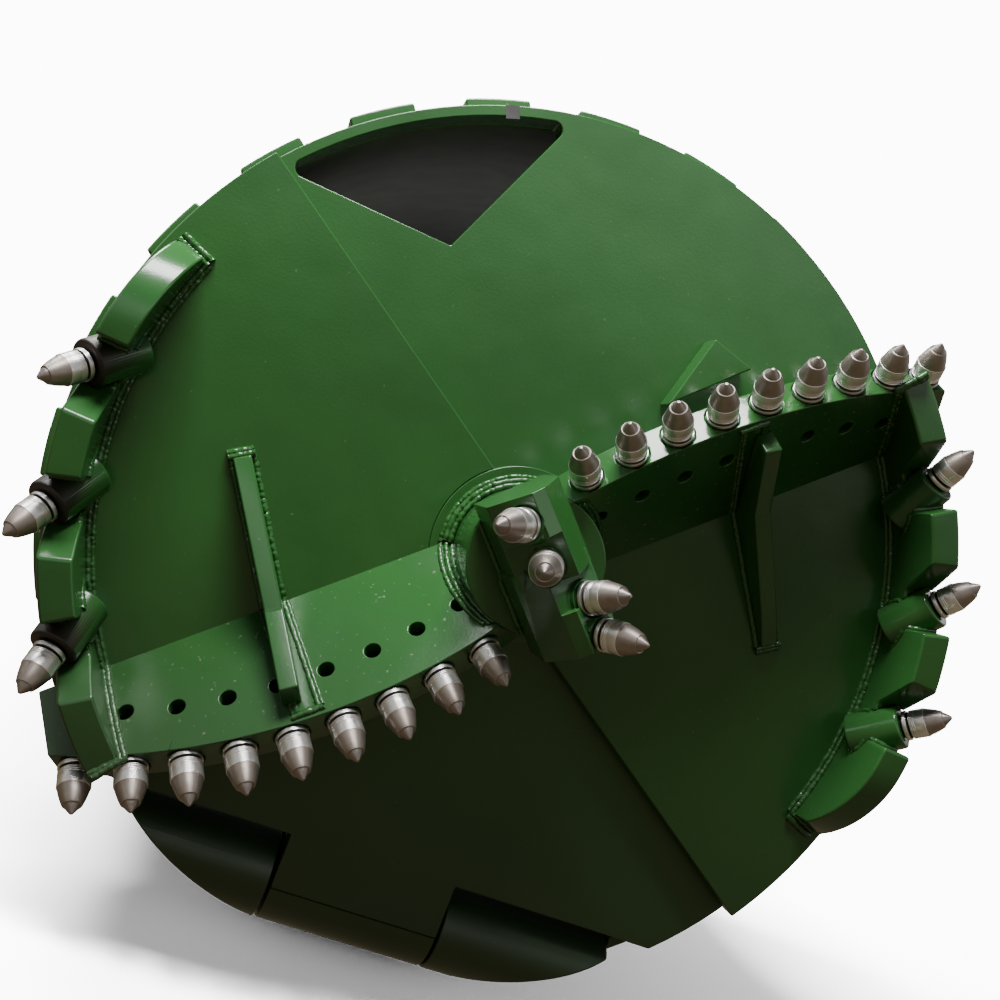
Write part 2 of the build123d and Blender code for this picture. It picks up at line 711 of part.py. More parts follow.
# Rotating halves: letter, azimuth of the arm and of the plate's trailing edge
halves = [("a", arm_azimuth, trail_azimuth + 180), ("b", arm_azimuth + 180, trail_azimuth)]
arm_rise = radians(arm_slope)
arm_back_shift = arm_root_shift - arm_thick / 2 / sin(arm_rise)
wall_step = wall_middle * sin(radians(side_seat_pitch))
far = 2 * shell_radius
for letter, azimuth, trail in halves:
    # Sector plate between the arm's front and the trailing edge
    lead_turn = radians(trail - azimuth)
    apex_along = (-trail_shift - sector_lead * cos(lead_turn)) / -sin(lead_turn)
    apex = turned(apex_along, sector_lead, azimuth)
    with BuildPart() as sector_plate:
        with BuildSketch(FRONT.offset(sector_back)):
            Circle(shell_radius)
            Polygon(
                apex,
                turned(far, sector_lead, azimuth),
                polar(far, (azimuth + trail) / 2 if azimuth > trail else (azimuth + trail - 360) / 2),
                turned(far, -trail_shift, trail),
                align=None,
                mode=Mode.INTERSECT,
            )
            Circle(hub_flange_radius, mode=Mode.SUBTRACT)
        extrude(amount=sector_thick)
    save(sector_plate, f"sector_plate_{letter}")

    # Inclined arm with a crowned edge, spot faces and bores for its teeth, and knock-out holes
    with BuildPart() as tooth_arm:
        with BuildSketch(arm_plane(azimuth)):
            with BuildLine():
                crown = ThreePointArc(
                    arm_edge(arm_inner_end),
                    arm_edge(crown_along),
                    arm_edge(arm_outer_end),
                )
                Polyline(crown @ 1, (arm_outer_end, -arm_thick), (arm_inner_end, -arm_thick), crown @ 0)
            make_face()
        extrude(amount=arm_thick / 2, both=True)
        split(bisect_by=FRONT.offset(deck), keep=Keep.TOP)
        with BuildSketch(FRONT.offset(deck)):
            Circle(hub_radius)
        extrude(amount=hub_height, mode=Mode.SUBTRACT)
        with Locations(*locations(arm_tooth_planes(azimuth))):
            Cylinder(
                shank_radius,
                bore_depth,
                align=(Align.CENTER, Align.CENTER, Align.MAX),
                mode=Mode.SUBTRACT,
            )
            Cylinder(
                spot_face_radius,
                tooth_head,
                align=(Align.CENTER, Align.CENTER, Align.MIN),
                mode=Mode.SUBTRACT,
            )
        with BuildSketch(arm_plane(azimuth)):
            for along, up, lean in arm_seats():
                back = (knock_out_back * sin(radians(lean)), knock_out_back * cos(radians(lean)))
                with Locations((along - back[0], up - back[1])):
                    Circle(knock_out_radius)
        extrude(amount=arm_thick, mode=Mode.SUBTRACT)
    save(tooth_arm, f"tooth_arm_{letter}")

    with BuildPart() as arm_teeth_row:
        with Locations(*locations(arm_tooth_planes(azimuth))):
            add(tooth.part)
    save(arm_teeth_row, f"arm_teeth_{letter}")

    # Rib in the corner between the deck and the arm's back, its tail skewed towards the hub
    rib_root = (*turned(rib_along, arm_back_shift, azimuth), deck)
    rib_way = azimuth - rib_skew
    rib_top = (rib_up * cos(arm_rise), rib_up * sin(arm_rise))
    rib_crest = (rib_top[0] - rib_depth * sin(arm_rise), rib_top[1] + rib_depth * cos(arm_rise))
    rib_bend = rib_crest[0] - (rib_crest[1] - rib_bend_height) / tan(arm_rise)
    with BuildPart() as arm_rib:
        with BuildSketch(placed(rib_root, (*polar(1, rib_way + 90), 0), (*polar(1, rib_way), 0))):
            Polygon(
                (-rib_length, 0),
                (rib_thick, 0),
                (rib_top[0] + rib_thick * sin(arm_rise), rib_top[1] - rib_thick * cos(arm_rise)),
                rib_crest,
                (rib_bend, rib_bend_height),
                (rib_shoulder - rib_length, rib_shoulder_height),
                (-rib_length, rib_tail_height),
                align=None,
            )
        extrude(amount=rib_thick / 2, both=True)
        split(bisect_by=arm_plane(azimuth).offset(arm_thick / 2), keep=Keep.TOP)
    save(arm_rib, f"arm_rib_{letter}")

    # Side wall, stepped in front of each tooth and ramped behind it
    seats = side_azimuths(azimuth)
    tail_start = -side_step_back - side_tail_flat
    tail_end = tail_start - side_tail
    wall_end = seats[-1] - degrees(atan2(-tail_end, wall_middle))
    crest, valley = side_wall_crest, side_wall_valley
    crest_start = wall_step - side_step_back - side_plateau
    with BuildPart() as side_wall:
        with BuildSketch(FRONT.offset(deck)):
            Circle(wall_outer)
            Polygon(
                (0, 0),
                polar(far, wall_end),
                polar(far, (wall_end + azimuth) / 2),
                polar(far, azimuth + side_first_seat),
                align=None,
                mode=Mode.INTERSECT,
            )
            Circle(wall_inner, mode=Mode.SUBTRACT)
        extrude(amount=side_wall_crest)
        for seat in seats:
            with BuildSketch(tangent_plane(seat, wall_middle, deck)):
                Polygon(
                    (-side_step_back, valley),
                    (crest_start - side_ramp, valley),
                    (crest_start, crest),
                    (crest_start, 2 * crest),
                    (-side_step_back, 2 * crest),
                    align=None,
                )
            extrude(amount=2 * side_wall_thick, both=True, mode=Mode.SUBTRACT)
        with BuildSketch(tangent_plane(seats[-1], wall_middle, deck)):
            with BuildLine():
                tail = TangentArc((tail_start, crest), (tail_end, side_tail_height), tangent=(-1, 0))
                Polyline(
                    tail @ 1,
                    (2 * tail_end, side_tail_height),
                    (2 * tail_end, 2 * crest),
                    (tail_start, 2 * crest),
                    tail @ 0,
                )
            make_face()
        extrude(amount=2 * side_wall_thick, both=True, mode=Mode.SUBTRACT)
        split(bisect_by=arm_plane(azimuth).offset(arm_thick / 2), keep=Keep.TOP)
        with Locations(*locations(side_tooth_planes(azimuth))):
            Cylinder(
                holder_radius,
                holder_length,
                align=(Align.CENTER, Align.CENTER, Align.MAX),
                mode=Mode.SUBTRACT,
            )
            Cylinder(
                spot_face_radius,
                tooth_head,
                align=(Align.CENTER, Align.CENTER, Align.MIN),
                mode=Mode.SUBTRACT,
            )
    save(side_wall, f"side_wall_{letter}")

    with BuildPart() as side_holders:
        with Locations(*locations(side_tooth_planes(azimuth))):
            Cylinder(holder_radius, holder_length, align=(Align.CENTER, Align.CENTER, Align.MAX))
            Cylinder(
                shank_radius,
                bore_depth,
                align=(Align.CENTER, Align.CENTER, Align.MAX),
                mode=Mode.SUBTRACT,
            )
        split(bisect_by=FRONT.offset(deck), keep=Keep.TOP)
    save(side_holders, f"side_holders_{letter}")

    with BuildPart() as side_teeth_row:
        with Locations(*locations(side_tooth_planes(azimuth))):
            add(tooth.part)
    save(side_teeth_row, f"side_teeth_{letter}")

# Pilot bit: two opposed half bars, each with a steep tooth face at its end and a flatter one inside it
lead_edge = [(-pilot_trail, 0), (pilot_lead, 0), (pilot_lead, pilot_lead_height)]
trail_edge = [(-pilot_crest, pilot_crest_height), (-pilot_trail, pilot_trail_height)]
with BuildPart() as pilot_body:
    for azimuth in (pilot_azimuth, pilot_azimuth + 180):
        with BuildSketch(tangent_plane(azimuth, -pilot_overlap, hub_top)):
            Polygon(*lead_edge, *trail_edge, align=None)
        extrude(amount=pilot_overlap + pilot_step)
        with BuildSketch(tangent_plane(azimuth, pilot_step, hub_top)):
            Polygon(*lead_edge, (-pilot_peak, pilot_peak_height), *trail_edge, align=None)
        extrude(amount=pilot_half_length - pilot_step)
    with Locations(*locations(pilot_tooth_planes())):
        Cylinder(pilot_socket_radius, bore_depth, align=(Align.CENTER, Align.CENTER, Align.MAX))
        Cylinder(
            pilot_socket_radius,
            tooth_head,
            align=(Align.CENTER, Align.CENTER, Align.MIN),
            mode=Mode.SUBTRACT,
        )
        Cylinder(
            shank_radius,
            bore_depth,
            align=(Align.CENTER, Align.CENTER, Align.MAX),
            mode=Mode.SUBTRACT,
        )
save(pilot_body, "pilot_body")

with BuildPart() as pilot_teeth:
    with Locations(*locations(pilot_tooth_planes())):
        add(tooth.part)
save(pilot_teeth, "pilot_teeth")
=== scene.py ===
"""Dresses the rock drilling bucket: softened and painted plates, turned teeth, weld beads and a studio.

The bucket's own axes are used for every place: x to the right, y up, z out of the cutting end, in
millimetres, with z = 0 on the outer face of the hinged bottom plate. at() turns them into the frame's
metres.
"""
from math import asin, cos, degrees, pi, radians, sin, sqrt, tan
from random import Random

import bpy
from mathutils import Matrix, Vector


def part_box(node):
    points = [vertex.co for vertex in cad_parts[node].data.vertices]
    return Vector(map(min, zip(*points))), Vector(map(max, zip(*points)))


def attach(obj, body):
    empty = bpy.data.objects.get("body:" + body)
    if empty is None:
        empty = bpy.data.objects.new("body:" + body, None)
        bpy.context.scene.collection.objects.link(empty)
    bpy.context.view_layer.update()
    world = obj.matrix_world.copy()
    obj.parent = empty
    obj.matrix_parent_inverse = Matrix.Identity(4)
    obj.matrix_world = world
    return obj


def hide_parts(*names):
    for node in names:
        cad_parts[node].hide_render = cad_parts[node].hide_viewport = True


bl_info = {
    "name": "Rock drilling bucket",
    "version": (1, 0, 0),
    "blender": (4, 5, 0),
    "location": "View3D > Sidebar > Bucket",
    "description": "Paint, teeth, weld beads and studio for the rock drilling bucket",
    "category": "Object",
}

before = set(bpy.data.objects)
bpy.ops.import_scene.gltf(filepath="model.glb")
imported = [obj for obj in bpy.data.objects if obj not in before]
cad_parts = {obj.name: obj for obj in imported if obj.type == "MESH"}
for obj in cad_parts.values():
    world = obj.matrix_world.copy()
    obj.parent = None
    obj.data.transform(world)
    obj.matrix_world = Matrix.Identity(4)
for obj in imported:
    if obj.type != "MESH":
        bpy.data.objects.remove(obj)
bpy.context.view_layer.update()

# Where the bucket lies: the height of its axis and the bottom plate's outer face, in metres
AXIS_HEIGHT = (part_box("pivot_shaft")[0].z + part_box("pivot_shaft")[1].z) / 2
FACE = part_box("stop_block")[1].y

# Sizes of the solids, in millimetres and degrees; the arms' slope and the ribs' skew are in radians
DECK = 45
SHELL_RADIUS = 760
SHELL_FRONT = -55
SHELL_BACK = -1255
TOP_BACK = -1295
KELLY_HALF = 150
GUSSET_HALF = 15
HUB_RADIUS = 113
HUB_TOP = 190
ARM_AZIMUTHS = {"a": 41, "b": 221}
ARM_SLOPE = radians(47.5)
ARM_ROOT = -24
ARM_THICK = 60
ARM_BACK = ARM_ROOT - ARM_THICK / 2 / sin(ARM_SLOPE)
ARM_FRONT = ARM_ROOT + ARM_THICK / 2 / sin(ARM_SLOPE)
# Teeth on an arm: how many, the first one's place, their pitch, and the share of the fan they lean
ARM_TEETH = 9
ARM_FIRST = 123.5
ARM_PITCH = 79.2
ARM_FAN_SHARE = 0.48
# The arc that an arm's teeth stand on: place and height of its crown, and its radius
CROWN_ALONG = 343
CROWN_UP = 203
CROWN_RADIUS = 942
WALL_INNER = 690
WALL_OUTER = 742
WALL_CREST = 178
WALL_VALLEY = 100
WALL_STEP = 45
WALL_TAIL_TURN = 62.4
SIDE_SEATS = (9.9, 26.8, 43.7)
SIDE_SEAT_RADIUS = 740.5
SIDE_HEIGHT = 121
SIDE_LEAN = 46
SIDE_TILT = 38
HOLDER_RADIUS = 38
HOLDER_LENGTH = 95
RIB_ALONG = 405
RIB_SKEW = radians(8.3)
RIB_HALF = 15
RIB_LENGTH = 244
RIB_UP = 198
# Height above the deck of a rib's shoulder and of its bend: in the solid, and as flame-cut
RIB_TOPS = ((50, 40), (56, 86))
PILOT_AZIMUTH = 134
PILOT_LEAD = 58
PILOT_TRAIL = 62
# Radius, azimuth and height above the hub of a pilot tooth's seat, its heading and its tilt
PILOT_TEETH = (
    (86, 147, 143, 198, 48), (20, 175, 136, 204, 74), (58, -21, 132, 35, 55), (111, -33, 140, 12, 53))
# Wear plates: back and front of each ring, and the front of those beside the hinge
WEAR_RINGS = ((-235, SHELL_FRONT), (SHELL_BACK, -1135))
WEAR_SHORT_END = -182
WEAR_SHORT_TURN = 38
WEAR_COUNT = 24
WEAR_PITCH = 15
WEAR_HALF_WIDTH = 57.5
HINGE_AZIMUTH = -90
# Width, thickness and depth of the bare patch on the rim, and its middle
RIM_MARK_SIZE = (24, 1.2, 22)
RIM_MARK_RADIUS = 748
RIM_MARK_AZIMUTH = 111.5


class EnamelSettings(bpy.types.PropertyGroup):
    """Paint of the bucket."""

    colour: bpy.props.StringProperty(
        name="Enamel", description="Fresh enamel in even light, sRGB hex", default="367035")
    shade: bpy.props.StringProperty(
        name="Thin coat", description="Enamel where the coat is thin, sRGB hex", default="2E632E")
    dust: bpy.props.StringProperty(
        name="Dust", description="Dry dust settled on the paint, sRGB hex", default="93A58A")
    # Painted shade: a dark film laid on the enamel near the ground, where the low parts lie in shade
    ground_shade: bpy.props.StringProperty(
        name="Ground shade", description="Painted shade darkening the low parts, sRGB hex", default="24241A")
    roughness: bpy.props.FloatProperty(
        name="Roughness", description="Gloss of the clean enamel", default=0.17, min=0.0, max=1.0)


class ToothSettings(bpy.types.PropertyGroup):
    """Round shank teeth."""

    steel: bpy.props.StringProperty(
        name="Turned steel", description="Bare body of a tooth, sRGB hex", default="E2E0DE")
    cone: bpy.props.StringProperty(
        name="Tempered cone", description="Heat-tinted cone of a tooth, sRGB hex", default="9B928B")
    tip: bpy.props.StringProperty(
        name="Carbide", description="Sintered tip of a tooth, sRGB hex", default="958D88")
    steps: bpy.props.IntProperty(
        name="Facets", description="Facets round a tooth", default=36, min=12, max=64)


class WeldSettings(bpy.types.PropertyGroup):
    """Weld beads under the paint."""

    ripple: bpy.props.FloatProperty(
        name="Ripple", description="Length of one ripple, millimetres", default=8.0, min=3.0, max=30.0)
    coarse_ripple: bpy.props.FloatProperty(
        name="Shell ripple", description="Ripple of the beads along the shell, millimetres", default=13.0)


class StageSettings(bpy.types.PropertyGroup):
    """Camera, light and floor."""

    lens: bpy.props.FloatProperty(
        name="Lens", description="Focal length, millimetres", default=42.08, subtype="NONE")
    camera: bpy.props.FloatVectorProperty(
        name="Camera", description="Where the camera stands, in the bucket's axes, millimetres",
        default=(-458.9, 11.7, 1961.1))
    floor: bpy.props.StringProperty(
        name="Floor", description="Studio floor, sRGB hex", default="F4F4F2")
    key_power: bpy.props.FloatProperty(
        name="Overhead light", description="Power of the light above the bucket", default=154.0,
        unit="POWER")
    side_power: bpy.props.FloatProperty(
        name="Side light", description="Power of the light above its left side", default=150.0,
        unit="POWER")
    inside_power: bpy.props.FloatProperty(
        name="Inside light", description="Power of the light in the shell", default=3.0, unit="POWER")
    hall: bpy.props.FloatProperty(
        name="Hall light", description="Strength of the bright band round the hall", default=1.4)
    hall_fill: bpy.props.FloatProperty(
        name="Hall fill", description="Part of the hall's light that isn't mirrored", default=0.30,
        min=0.0, max=1.0)


def at(x, y, z):
    """Bucket millimetres as a point of the frame."""
    return Vector((x / 1000, FACE - z / 1000, AXIS_HEIGHT + y / 1000))


def way(x, y, z):
    """Bucket direction as a direction of the frame."""
    return Vector((x, -z, y)).normalized()


def polar(radius, azimuth):
    """Bucket x and y at a radius and azimuth."""
    return radius * cos(radians(azimuth)), radius * sin(radians(azimuth))


def turned(along, across, azimuth):
    """Bucket x and y of a point given along and across a direction."""
    dx, dy = polar(1, azimuth)
    return along * dx - across * dy, along * dy + across * dx


def linear(text):
    """sRGB hex as a linear colour."""
    parts = [int(text[i:i + 2], 16) / 255 for i in (0, 2, 4)]
    return [p / 12.92 if p <= 0.04045 else ((p + 0.055) / 1.055) ** 2.4 for p in parts] + [1.0]


def add_node(tree, kind, values=None, links=None, **settings):
    """Add a shader node with its settings, input values and links."""
    node = tree.nodes.new(kind)
    for name, value in settings.items():
        setattr(node, name, value)
    for name, value in (values or {}).items():
        node.inputs[name].default_value = value
    for name, source in (links or {}).items():
        tree.links.new(source, node.inputs[name])
    return node


def noise(tree, place, size, detail):
    """Noise with patches of a size in millimetres."""
    values = {"Scale": 1000 / size, "Detail": detail}
    return add_node(tree, "ShaderNodeTexNoise", values, {"Vector": place}).outputs[0]


def two_tone(tree, share, first, second):
    """Two linear colours mixed by a share."""
    values = {6: first, 7: second}
    return add_node(tree, "ShaderNodeMix", values, {0: share}, data_type="RGBA").outputs[2]


def covered(tree, share, under, over):
    """A colour that comes from a node, covered by a linear colour by a share."""
    links = {0: share, 6: under}
    return add_node(tree, "ShaderNodeMix", {7: over}, links, data_type="RGBA").outputs[2]


def new_material(name):
    """Empty node material, its tree and its surface shader."""
    material = bpy.data.materials.new(name)
    material.use_nodes = True
    return material, material.node_tree, material.node_tree.nodes["Principled BSDF"]


def enamel_material(name, settings, scuffs):
    """Sprayed alkyd gloss enamel: wavy, orange-peeled, with dust, and painted shade near the ground."""
    material, tree, shader = new_material(name)
    place = add_node(tree, "ShaderNodeTexCoord").outputs["Object"]
    broad = noise(tree, place, 260, 3.0)
    fine = noise(tree, place, 9, 4.0)
    peel = noise(tree, place, 5, 1.0)
    wave = noise(tree, place, 90, 1.0)
    coat = add_node(tree, "ShaderNodeMapRange", {"From Min": 0.35, "From Max": 0.68}, {"Value": broad})
    base = two_tone(tree, coat.outputs[0], linear(settings.colour), linear(settings.shade))
    speck = add_node(
        tree, "ShaderNodeMapRange",
        {"From Min": 0.70 - scuffs, "From Max": 0.75 - scuffs, "To Max": 0.3 + 12 * scuffs},
        {"Value": fine})
    dusted = covered(tree, speck.outputs[0], base, linear(settings.dust))
    # Painted shade near the ground the bucket lies on, with a duller finish, thinning out upwards
    height = add_node(tree, "ShaderNodeSeparateXYZ", links={"Vector": place}).outputs["Z"]
    ragged = add_node(tree, "ShaderNodeMath", {1: 0.25}, {0: broad, 2: height}, operation="MULTIPLY_ADD")
    ground_shade_share = add_node(
        tree, "ShaderNodeMapRange", {"From Min": 0.3, "From Max": 0.75, "To Min": 0.75, "To Max": 0.0},
        {"Value": ragged.outputs[0]}).outputs[0]
    ground_shaded = covered(tree, ground_shade_share, dusted, linear(settings.ground_shade))
    tree.links.new(ground_shaded, shader.inputs["Base Color"])
    gloss = add_node(
        tree, "ShaderNodeMapRange",
        {"From Min": 0.3, "From Max": 0.7,
         "To Min": settings.roughness - 0.06, "To Max": settings.roughness + 0.1},
        {"Value": broad})
    rough = add_node(
        tree, "ShaderNodeMath", {1: 0.35}, {0: ground_shade_share, 2: gloss.outputs[0]}, operation="MULTIPLY_ADD")
    tree.links.new(rough.outputs[0], shader.inputs["Roughness"])
    plate = add_node(tree, "ShaderNodeBump", {"Strength": 0.25, "Distance": 0.004}, {"Height": wave})
    skin = add_node(
        tree, "ShaderNodeBump", {"Strength": 0.12, "Distance": 0.0008},
        {"Height": peel, "Normal": plate.outputs[0]})
    tree.links.new(skin.outputs[0], shader.inputs["Normal"])
    shader.inputs["IOR"].default_value = 1.52
    return material


def tooth_material(name, colour, roughness):
    """Turned alloy steel, bare: fine tool rings round the axis and an oily brown tarnish in patches."""
    material, tree, shader = new_material(name)
    place = add_node(tree, "ShaderNodeTexCoord").outputs["Object"]
    stain = noise(tree, place, 14, 4.0)
    height = add_node(tree, "ShaderNodeAttribute", attribute_name="height_mm")
    # Tool rings 1.5 mm apart, coarser than real so that they show
    turn = add_node(
        tree, "ShaderNodeMath", {1: 2 * pi / 1.5}, {0: height.outputs["Fac"]}, operation="MULTIPLY")
    ring = add_node(tree, "ShaderNodeMath", links={0: turn.outputs[0]}, operation="SINE")
    dull = add_node(
        tree, "ShaderNodeMapRange", {"From Min": 0.35, "From Max": 0.75, "To Max": 0.42}, {"Value": stain})
    brown = [c * s for c, s in zip(linear(colour), (0.58, 0.52, 0.47, 1.0))]
    base = two_tone(tree, dull.outputs[0], linear(colour), brown)
    tree.links.new(base, shader.inputs["Base Color"])
    rough = add_node(
        tree, "ShaderNodeMapRange", {"To Min": roughness - 0.08, "To Max": roughness + 0.12},
        {"Value": stain})
    tree.links.new(rough.outputs[0], shader.inputs["Roughness"])
    grooves = add_node(
        tree, "ShaderNodeBump", {"Strength": 0.35, "Distance": 0.0003}, {"Height": ring.outputs[0]})
    tree.links.new(grooves.outputs[0], shader.inputs["Normal"])
    shader.inputs["Metallic"].default_value = 0.85
    return material


def pin_material(name):
    """Drawn bar, greased: satin grey steel with darker smears."""
    material, tree, shader = new_material(name)
    place = add_node(tree, "ShaderNodeTexCoord").outputs["Object"]
    smear = noise(tree, place, 40, 5.0)
    base = two_tone(tree, smear, linear("8C8D8E"), linear("4A4744"))
    tree.links.new(base, shader.inputs["Base Color"])
    rough = add_node(tree, "ShaderNodeMapRange", {"To Min": 0.25, "To Max": 0.5}, {"Value": smear})
    tree.links.new(rough.outputs[0], shader.inputs["Roughness"])
    shader.inputs["Metallic"].default_value = 1.0
    return material


def dull_material(name, light, dark, roughness):
    """Matt coat in two tones: grey primer inside the shell, or dark brown painted shade at tube mouths."""
    material, tree, shader = new_material(name)
    place = add_node(tree, "ShaderNodeTexCoord").outputs["Object"]
    base = two_tone(tree, noise(tree, place, 60, 4.0), linear(light), linear(dark))
    tree.links.new(base, shader.inputs["Base Color"])
    shader.inputs["Roughness"].default_value = roughness
    return material


def material_named(name, make, *args):
    """A material that is made once."""
    return bpy.data.materials.get(name) or make(name, *args)


def enamel(scuffed=False):
    """The bucket's paint, clean or scuffed."""
    name, scuffs = ("scuffed_gloss_enamel", 0.028) if scuffed else ("green_gloss_enamel", 0.0)
    return material_named(name, enamel_material, bpy.context.scene.bucket_enamel, scuffs)


def bar_steel():
    """The steel of the pins."""
    return material_named("greased_bar_steel", pin_material)


def only(piece):
    """Select one object alone and make it active."""
    bpy.ops.object.select_all(action="DESELECT")
    piece.select_set(True)
    bpy.context.view_layer.objects.active = piece


def apply_modifier(piece, kind, **settings):
    """Add a modifier and apply it."""
    only(piece)
    modifier = piece.modifiers.new(kind, kind)
    for name, value in settings.items():
        setattr(modifier, name, value)
    bpy.ops.object.modifier_apply(modifier=modifier.name)


def coat_mesh(mesh, material):
    """Give a mesh one material alone."""
    mesh.materials.clear()
    mesh.materials.append(material)


def finish_piece(piece, material, body, slot, *nodes):
    """Paint a piece, set it on its body and let it stand for its nodes."""
    coat_mesh(piece.data, material)
    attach(piece, body)
    if nodes:
        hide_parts(*nodes)


def softened(node, width, least, tops):
    """Copy of a node with merged faces, moved tops and edges rounded from the least angle on."""
    piece = bpy.data.objects.new(f"{node}_painted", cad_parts[node].data.copy())
    bpy.context.scene.collection.objects.link(piece)
    only(piece)
    bpy.ops.mesh.customdata_custom_splitnormals_clear()
    bpy.ops.object.mode_set(mode="EDIT")
    bpy.ops.mesh.select_all(action="SELECT")
    bpy.ops.mesh.remove_doubles(threshold=0.00002)
    bpy.ops.mesh.dissolve_limited(angle_limit=radians(0.3))
    bpy.ops.object.mode_set(mode="OBJECT")
    for vertex in piece.data.vertices:
        height = (FACE - vertex.co.y) * 1000 - DECK
        for old, new in tops:
            if abs(height - old) < 1:
                vertex.co.y -= (new - old) / 1000
    bpy.ops.object.shade_smooth()
    apply_modifier(
        piece, "BEVEL", width=width / 1000, segments=2, limit_method="ANGLE", angle_limit=radians(least),
        use_clamp_overlap=False, miter_outer="MITER_ARC")
    apply_modifier(piece, "WEIGHTED_NORMAL", keep_sharp=True, weight=100)
    return piece


class BUCKET_OT_paint_plates(bpy.types.Operator):
    """Round the edges of the plates and paint them"""

    bl_idname = "bucket.paint_plates"
    bl_label = "Paint plates"

    # Node, its body and how far its edges are rounded, millimetres
    PLATES = [
        ("shell_tube", "shell", 3), ("top_plate", "shell", 3), ("kelly_box", "shell", 4),
        ("kelly_gussets", "shell", 3), ("wear_plates_front", "shell", 4), ("wear_plates_back", "shell", 4),
        ("hinge_lug_left", "shell", 4), ("hinge_lug_right", "shell", 4),
        ("bottom_plate", "bottom", 2.5), ("stop_block", "bottom", 3), ("hub", "cutter", 3),
        ("hub_flange", "cutter", 2),
        ("pilot_body", "cutter", 1.2),
        ("sector_plate_a", "cutter", 2.5), ("sector_plate_b", "cutter", 2.5),
        ("tooth_arm_a", "cutter", 2), ("tooth_arm_b", "cutter", 2),
        ("arm_rib_a", "cutter", 3.5), ("arm_rib_b", "cutter", 3.5),
        ("side_wall_a", "cutter", 5), ("side_wall_b", "cutter", 5),
        ("side_holders_a", "cutter", 5), ("side_holders_b", "cutter", 5),
    ]
    # Angle in degrees from which an edge is rounded, on plates and on the ribs with their blunt bends
    LEAST_ANGLE = 28
    LEAST_RIB_ANGLE = 8
    SCUFFED = ("tooth_arm", "wear_plates")
    # Nodes with faces not in green, and their coat: grey primer, or dark brown painted shade at tube mouths
    PRIMER = ("grey_primer", "747571", "5C5D59", 0.7)
    BARE_AND_SHADED = {
        "shell_tube": PRIMER,
        "top_plate": PRIMER,
        # Dark brown painted shade round the mouths of the left wall's tubes
        "side_holders_b": ("oil_browned_steel", "33281F", "1A1512", 0.5),
    }
    # Cosine of a normal from which a face looks inwards, and metres round a seat given painted shade
    INWARDS = -0.7
    MOUTH_REACH = 0.058
    HIDDEN = ("latch_bracket", "rod_guide", "pivot_boss", "pivot_collar")

    def recoat_bare_and_shaded(self, piece, node):
        """Take the paint off the shell's inside; paint shade on the left wall's tube mouths."""
        name, *coat = self.BARE_AND_SHADED[node]
        piece.data.materials.append(material_named(name, dull_material, *coat))
        mouths = [at(*seat) for seat, _ in side_seats(ARM_AZIMUTHS["b"])]
        for face in piece.data.polygons:
            spoke = Vector((face.center.x, 0, face.center.z - AXIS_HEIGHT))
            if node == "shell_tube":
                bare = face.normal.dot(spoke.normalized()) < self.INWARDS
            elif node == "top_plate":
                bare = face.normal.y < self.INWARDS
            else:
                # Painted shade: the tube mouths on the left wall take the dark brown
                bare = min((face.center - mouth).length for mouth in mouths) < self.MOUTH_REACH
            face.material_index = int(bare)

    def execute(self, context):
        for node, body, width in self.PLATES:
            if "rib" in node:
                piece = softened(node, width, self.LEAST_RIB_ANGLE, RIB_TOPS)
            else:
                piece = softened(node, width, self.LEAST_ANGLE, ())
            paint = enamel(node.startswith(self.SCUFFED))
            finish_piece(piece, paint, body, "green_enamel", node)
            if node in self.BARE_AND_SHADED:
                self.recoat_bare_and_shaded(piece, node)
        for node in self.HIDDEN:
            coat_mesh(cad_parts[node].data, enamel())
        return {"FINISHED"}


class BUCKET_OT_grease_pins(bpy.types.Operator):
    """Give the pins, the release rod and the latch their bare steel"""

    bl_idname = "bucket.grease_pins"
    bl_label = "Grease pins"

    PINS = ("hinge_pin", "latch_pin", "release_rod", "pivot_shaft", "latch_dog", "latch_tongue")

    def execute(self, context):
        for node in self.PINS:
            coat_mesh(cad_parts[node].data, bar_steel())
        return {"FINISHED"}


def arm_point(along, up, azimuth):
    """Bucket point on an arm's middle plane."""
    x, y = turned(along, ARM_ROOT + up * cos(ARM_SLOPE), azimuth)
    return x, y, DECK + up * sin(ARM_SLOPE)


def arm_seats(azimuth):
    """Seat and direction of each tooth on one arm."""
    seats = []
    for number in range(ARM_TEETH):
        along = ARM_FIRST + ARM_PITCH * number
        fan = asin((along - CROWN_ALONG) / CROWN_RADIUS)
        lean = fan * ARM_FAN_SHARE
        up = CROWN_UP - CROWN_RADIUS * (1 - cos(fan))
        flat = turned(sin(lean), cos(lean) * cos(ARM_SLOPE), azimuth)
        seats.append((arm_point(along, up, azimuth), (*flat, cos(lean) * sin(ARM_SLOPE))))
    return seats


def side_seats(azimuth):
    """Seat and direction of each tooth on one wall."""
    return [
        (
            (*polar(SIDE_SEAT_RADIUS, azimuth - back), SIDE_HEIGHT),
            (*polar(cos(radians(SIDE_TILT)), azimuth - back + SIDE_LEAN), sin(radians(SIDE_TILT))),
        )
        for back in SIDE_SEATS
    ]


def pilot_seats():
    """Seat and direction of each pilot tooth."""
    return [
        ((*polar(out, azimuth), HUB_TOP + rise), (*polar(cos(radians(tilt)), heading), sin(radians(tilt))))
        for out, azimuth, rise, heading, tilt in PILOT_TEETH
    ]


